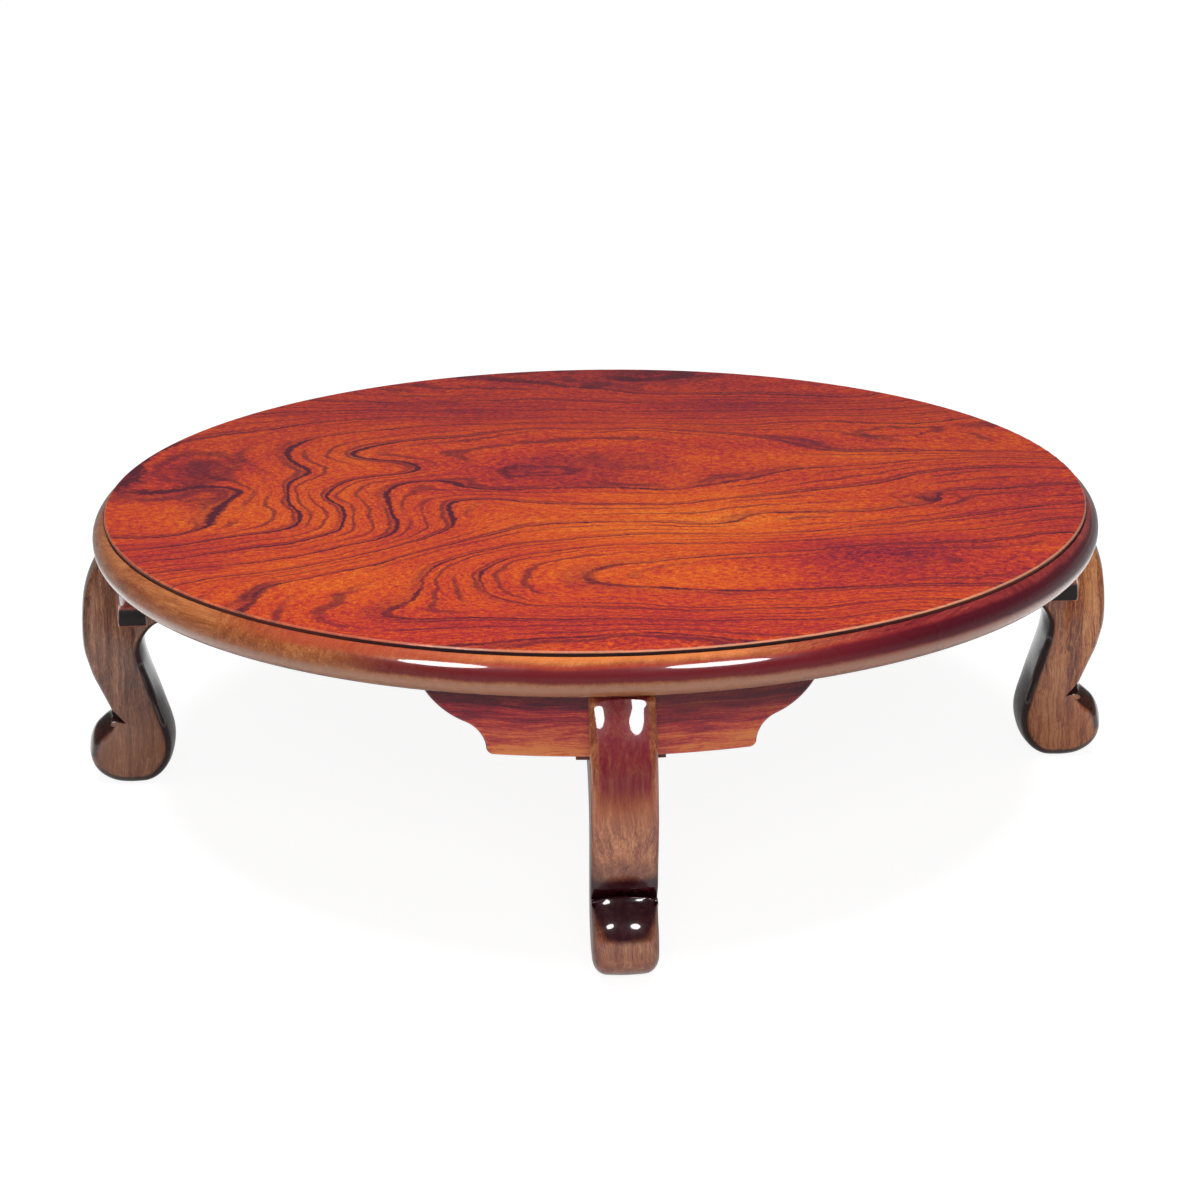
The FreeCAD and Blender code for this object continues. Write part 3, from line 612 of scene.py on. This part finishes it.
def through(points, steps=6):
    """A smooth line through rows of numbers."""
    rows = np.array(points, float)
    rows = np.vstack([2 * rows[0] - rows[1], rows, 2 * rows[-1] - rows[-2]])
    knots = np.concatenate([[0], np.cumsum(np.hypot(*np.diff(rows[:, :2], axis=0).T) ** 0.5)])
    line = []
    for i in range(1, len(rows) - 2):
        t0, t1, t2, t3 = knots[i - 1:i + 3]
        for t in np.linspace(t1, t2, steps, endpoint=False):
            a1 = (t1 - t) / (t1 - t0) * rows[i - 1] + (t - t0) / (t1 - t0) * rows[i]
            a2 = (t2 - t) / (t2 - t1) * rows[i] + (t - t1) / (t2 - t1) * rows[i + 1]
            a3 = (t3 - t) / (t3 - t2) * rows[i + 1] + (t - t2) / (t3 - t2) * rows[i + 2]
            b1 = (t2 - t) / (t2 - t0) * a1 + (t - t0) / (t2 - t0) * a2
            b2 = (t3 - t) / (t3 - t1) * a2 + (t - t1) / (t3 - t1) * a3
            line.append((t2 - t) / (t2 - t1) * b1 + (t - t1) / (t2 - t1) * b2)
    line.append(rows[-2])
    return line


notch_rounding = 0.6
least_rounding = 0.01
sharp_edge_angle = math.radians(38)
outline = through(knee_line) + through(crease_line[:2], 3) + [np.array(crease_line[2], float)]
outline += through(crease_line[3:] + toe_line)
outline += [np.array((r, z, 0, 0, notch_rounding), float) for r, z in notch_line]
outline = np.array(outline)
ahead = np.roll(outline[:, :2], -1, axis=0) - outline[:, :2]
ahead /= np.maximum(np.linalg.norm(ahead, axis=1, keepdims=True), 1e-6)
run_by = ahead + np.roll(ahead, 1, axis=0)
run_by /= np.maximum(np.linalg.norm(run_by, axis=1, keepdims=True), 1e-6)
outward, upward = outline[:, 0], outline[:, 1]
area = 0.5 * np.sum(outward * np.roll(upward, -1) - upward * np.roll(outward, -1))
inwards = np.column_stack([-run_by[:, 1], run_by[:, 0]]) * np.sign(area)
slices = [0, 4, 8, 11, 14, 16, 18, 20, 21.5, 23, 24.3, 25.2, 25.8, leg_half]
slices = np.array([-s for s in slices[:0:-1]] + slices)


def leg_mesh(name, angle):
    """The board as a skin over the outline, drawn in towards both faces, turned to its side."""
    corners = []
    for s in slices:
        share = s / leg_half
        ball = 1 - math.sqrt(max(1 - share ** 2, 0))
        rounding = np.maximum(outline[:, 4], least_rounding)
        over = np.clip(abs(s) - (leg_half - rounding), 0, rounding)
        inset = outline[:, 2] * share ** 2 + outline[:, 3] * ball
        inset = inset + rounding - np.sqrt(rounding ** 2 - over ** 2)
        ring_points = outline[:, :2] + inwards * inset[:, None]
        corners += [(r / 1000, s / 1000, z / 1000) for r, z in ring_points]
    count = len(outline)
    faces = []
    for j in range(len(slices) - 1):
        for i in range(count):
            k = (i + 1) % count
            faces.append((j * count + i, j * count + k, (j + 1) * count + k, (j + 1) * count + i))
    faces.append(tuple(range(count))[::-1])
    faces.append(tuple((len(slices) - 1) * count + i for i in range(count)))
    mesh = bpy.data.meshes.new(name)
    mesh.from_pydata(corners, [], faces)
    mesh.transform(Matrix.Rotation(math.radians(angle), 4, "Z"))
    mesh.validate()
    work = bmesh.new()
    work.from_mesh(mesh)
    bmesh.ops.recalc_face_normals(work, faces=work.faces)
    work.to_mesh(mesh)
    work.free()
    mesh.shade_smooth()
    mesh.set_sharp_from_angle(angle=sharp_edge_angle)
    piece = bpy.data.objects.new(name, mesh)
    scene.collection.objects.link(piece)
    return piece


def facing(tree, angle):
    """Which way the surface looks: outwards, sideways and up, for the leg at an angle."""
    normal = tree.nodes.new("ShaderNodeTexCoord").outputs["Normal"]
    return split(tree, turned_away(tree, normal, angle))


brown_leg = ((0.05, stain(78, 38, 30)), (0.40, stain(128, 78, 56)), (0.70, stain(160, 104, 74)),
             (1.0, stain(194, 138, 100)))
tan_leg = ((0.05, stain(96, 38, 30)), (0.40, stain(164, 88, 56)), (0.70, stain(202, 126, 82)),
           (1.0, stain(228, 162, 114)))
gold_leg = ((0.05, stain(104, 42, 28)), (0.40, stain(184, 102, 56)), (0.70, stain(222, 142, 82)),
            (1.0, stain(242, 178, 116)))
leg_tones = {"front": tan_leg, "right": gold_leg, "back": brown_leg, "left": brown_leg}
foot_light_colours = {"right": stain(168, 104, 82), "back": stain(176, 120, 94),
               "left": stain(176, 120, 94)}
leg_figures = {"front": 1.5, "right": 2.0, "back": 2.0, "left": 2.0}
for side, angle in leg_sides.items():
    carved_leg = leg_mesh(f"carved_leg_{side}", angle)
    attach(carved_leg, f"leg_unit_{side}")
    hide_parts(f"leg_{side}")
    leg_wood, tree, shader = empty_material(f"leg_wood_{side}")
    pattern_shift = 40 * (angle / 90)
    in_leg = turned_away(tree, place(tree), angle, (0, pattern_shift, 0))
    outwards, sideways, height = split(tree, wander(tree, in_leg, 30, 4, 2.0))
    upright = joined(tree, height, outwards, sideways)
    tone = varied(tree, 0.50, drawn_out(tree, upright, 0.6, 45, 2.0, 0.5), 0.5)
    colour, _, pores = straight_grain(tree, upright, tone, leg_tones[side], leg_figures[side])
    normal_out, normal_sideways, normal_up = facing(tree, angle)
    if side == "front":
        # Crimson on the knee, orange below it, a greyer shin that is a painted reflection of the
        # floor and a nearly black scroll that is painted shade, with the edges left tan. Heights and
        # widths are in millimetres.
        from_middle = calc(tree, "ABSOLUTE", calc(tree, "SUBTRACT", sideways, pattern_shift))
        streaks = drawn_out(tree, upright, 0.06, 3.2, 3.0, 0.6)
        knee = product(tree, smooth_step(tree, height, 144, 170, 0.0, 0.9),
                       smooth_step(tree, from_middle, 23.0, 18.0),
                       smooth_step(tree, streaks, 0.35, 0.70, 1.0, 0.72))
        orange = product(tree, smooth_step(tree, height, 128, 150),
                         smooth_step(tree, height, 176, 158, 0.0, 0.5))
        # Painted reflection of the floor: a greyer shin.
        shin_reflection = product(tree, smooth_step(tree, height, 112, 92, 0.0, 0.5),
                       smooth_step(tree, height, 36, 44))
        sole = smooth_step(tree, height, 44, 34, 0.0, 0.40)
        past_edge = calc(tree, "SUBTRACT", from_middle, smooth_step(tree, height, 40, 70, 18, 32))
        # Painted shade: the scroll above the toe is nearly black.
        scroll_shade = product(tree, between(tree, height, (36, 44), (82, 92)),
                         smooth_step(tree, outwards, 410, 430),
                         smooth_step(tree, past_edge, -4, 3, 1.0, 0.1),
                         smooth_step(tree, streaks, 0.35, 0.70, 1.0, 0.90))
        colour = stained(tree, orange, colour, stain(190, 96, 50))
        colour = stained(tree, knee, colour, stain(134, 18, 50))
        colour = stained(tree, shin_reflection, colour, stain(100, 56, 50))
        colour = stained(tree, sole, colour, stain(96, 50, 48))
        colour = stained(tree, scroll_shade, colour, stain(52, 6, 22))
    else:
        # The foot is painted towards a pale tan, as painted light. The edge towards the table's
        # middle, the crease and the sole are painted nearly black, as painted shade.
        # Painted light: the foot is painted towards a pale tan.
        foot_light = smooth_step(tree, height, 104, 48, 0.0, 0.38)
        colour = stained(tree, foot_light, colour, foot_light_colours[side])
        # Painted shade on the rounded edges: towards the table's middle, in the crease and under the
        # sole.
        rounded = smooth_step(tree, calc(tree, "ABSOLUTE", normal_sideways), 0.99, 0.86)
        inner_shade = product(tree, smooth_step(tree, normal_out, -0.08, -0.28),
                        smooth_step(tree, height, 175, 130, 0.45, 0.95))
        crease_shade = product(tree, smooth_step(tree, height, 76, 70),
                         smooth_step(tree, normal_up, -0.2, 0.1))
        sole = smooth_step(tree, normal_up, -0.15, -0.45)
        toe_shade = product(tree, calc(tree, "MAXIMUM", crease_shade, sole), 0.9)
        leg_shade = product(tree, rounded, calc(tree, "MAXIMUM", inner_shade, toe_shade))
        colour = stained(tree, leg_shade, colour, stain(40, 10, 18))
    lacquered(tree, shader, colour, pores)
    carved_leg.data.materials.append(leg_wood)

# The apron boards are sawn on a curve to follow the rim, each end cut to an ogee. They are
# the same red as the top, with long maroon streaks.
apron_radius = 430
apron_tones = ((0.05, stain(80, 10, 40)), (0.30, stain(136, 20, 44)), (0.55, stain(188, 44, 52)),
               (0.75, stain(220, 88, 52)), (1.0, stain(240, 136, 66)))
for side, angle in leg_sides.items():
    apron_wood, tree, shader = empty_material(f"apron_wood_{side}")
    here = place(tree)
    outwards, sideways, upwards = split(tree, turned_away(tree, here, angle))
    along = product(tree, calc(tree, "ARCTAN2", sideways, outwards), apron_radius)
    depth = vector_calc(tree, "LENGTH", vector_calc(tree, "MULTIPLY", here, (1, 1, 0)))
    board_shift = 35 * angle
    lengthways = joined(tree, calc(tree, "ADD", along, board_shift), depth, upwards)
    height = split(tree, wander(tree, here, 60, 5, 2.0))["Z"]
    tone = varied(tree, 0.42, drawn_out(tree, lengthways, 0.3, 30, 2.0, 0.5), 1.0)
    # Painted shade: darker towards the top, in the rim's shadow, lighter lower down.
    tone = calc(tree, "ADD", tone, smooth_step(tree, height, 216, 186, -0.08, 0.42))
    colour, _, pores = straight_grain(tree, lengthways, tone, apron_tones, 1.5)
    # Painted shadow under the rim, reaching lower towards one end, where a leg's shadow falls.
    shadow_bottom = smooth_step(tree, along, 0, 70, 216, 198)
    rim_shadow = smooth_step(tree, height, shadow_bottom, 226, 0.0, 0.75)
    colour = stained(tree, rim_shadow, colour, stain(46, 12, 26))

    # The sawn ends are nearly black low down, dark end grain with painted shade, and pale
    # above as a painted reflection of the floor. They are hardly lacquered.
    _, normal_sideways, _ = facing(tree, angle)
    end_grain = smooth_step(tree, calc(tree, "ABSOLUTE", normal_sideways), 0.55, 0.80)
    end_shade_and_reflection = smooth_step(tree, height, 201, 205)
    end_shade_and_reflection = stained(tree, end_shade_and_reflection, stain(26, 8, 12), stain(214, 160, 128))
    colour = stained(tree, end_grain, colour, end_shade_and_reflection)
    lacquered(tree, shader, colour, pores)
    plug(tree, shader.inputs["Coat Weight"], calc(tree, "MULTIPLY_ADD", end_grain, -0.75, 1.0))
    finish_node(f"apron_{side}", apron_wood)

# Blocks behind the apron: one joins leg and apron, two carry the hinges. Plain hardwood with
# the same stain, brushed once, so it is duller than the show wood.
block_tones = ((0.05, stain(70, 26, 26)), (0.45, stain(112, 50, 38)), (1.0, stain(160, 92, 62)))
for side, angle in leg_sides.items():
    block_wood, tree, shader = empty_material(f"block_wood_{side}")
    lengthways = turned_away(tree, place(tree), angle + 90, (90 + 55 * (angle / 90), 7, 0))
    colour, _, pores = straight_grain(tree, lengthways, 0.45, block_tones, 0.8)
    lacquered(tree, shader, colour, pores, coat=0.4, roughness=0.35)
    for name in ("leg_block", "side_blocks"):
        finish_node(f"{name}_{side}", block_wood)

# The underside board is stained plywood with a thin seal. It closes the frame inside the top,
# which is bare softwood: one long rail, short rails, pads for the hinge screws, and ribs.
board_tones = ((0.05, stain(88, 46, 34)), (0.45, stain(126, 74, 52)), (1.0, stain(170, 114, 80)))
core_tones = ((0.05, stain(170, 128, 84)), (0.5, stain(204, 166, 118)), (1.0, stain(230, 200, 156)))
board_grain_turn = 0.6
underside_board, tree, shader = empty_material("underside_board")
lengthways = place(tree, (1, 1, 1), board_grain_turn)
colour, _, pores = straight_grain(tree, lengthways, 0.45, board_tones, 0.7)
lacquered(tree, shader, colour, pores, coat=0.15, roughness=0.42)
finish_node("underside_panel", underside_board)
core_wood, tree, shader = empty_material("core_wood")
colour, _, pores = straight_grain(tree, place(tree), 0.5, core_tones, 0.7)
lacquered(tree, shader, colour, pores, coat=0.0, roughness=0.60)
for name in ("core_rail_long", "core_rails_short", "core_pads", "core_ribs"):
    finish_node(name, core_wood)

# Steel parts: zinc-plated hinges, pins and screws, blackened bolts, and the bright springs that
# catch a leg. Each kind has its own colour and roughness, clouded and finely brushed.
steel_tones = {"hinge": (stain(196, 192, 182), 0.30), "pin": (stain(206, 204, 198), 0.22),
               "screw": (stain(200, 194, 178), 0.30), "bolt": (stain(120, 118, 116), 0.34),
               "spring": (stain(176, 178, 182), 0.24)}
clouded_share = 0.62
steels = {}
for kind, (colour, roughness) in steel_tones.items():
    steels[kind], tree, shader = empty_material(f"{kind}_steel")
    here = place(tree)
    clouding = noise(tree, here, 9, 4.0, 0.65)
    brushing = drawn_out(tree, here, 0.06, 0.35, 2.0, 0.6)
    clouded = [clouded_share * c for c in colour[:3]] + [1]
    plug(tree, shader.inputs["Base Color"], stained(tree, clouding, colour, clouded))
    shader.inputs["Metallic"].default_value = 1.0
    dullness = calc(tree, "MULTIPLY_ADD", brushing, 0.18, roughness - 0.06)
    plug(tree, shader.inputs["Roughness"], dullness)
    felt(tree, shader, brushing, 0.10, 0.0001)
steel_pieces = {"leg_bolts": "bolt", "leg_leaves": "hinge", "top_leaves": "hinge",
                "hinge_pins": "pin", "leaf_screws": "screw", "top_screws": "screw",
                "catch_spring": "spring"}
for side in leg_sides:
    for name, kind in steel_pieces.items():
        finish_node(f"{name}_{side}", steels[kind])

# Black rubber buttons that a folded leg rests on, moulded, with a dull grey bloom. One is
# glued up under the top on each side of a leg's catch spring.
rest_rubber, tree, shader = empty_material("rest_rubber")
bloom = noise(tree, place(tree), 2.5, 4.0, 0.7)
plug(tree, shader.inputs["Base Color"], stained(tree, bloom, stain(26, 26, 26), stain(58, 56, 54)))
plug(tree, shader.inputs["Roughness"], calc(tree, "MULTIPLY_ADD", bloom, 0.2, 0.62))
finish_node("fold_rests", rest_rubber)
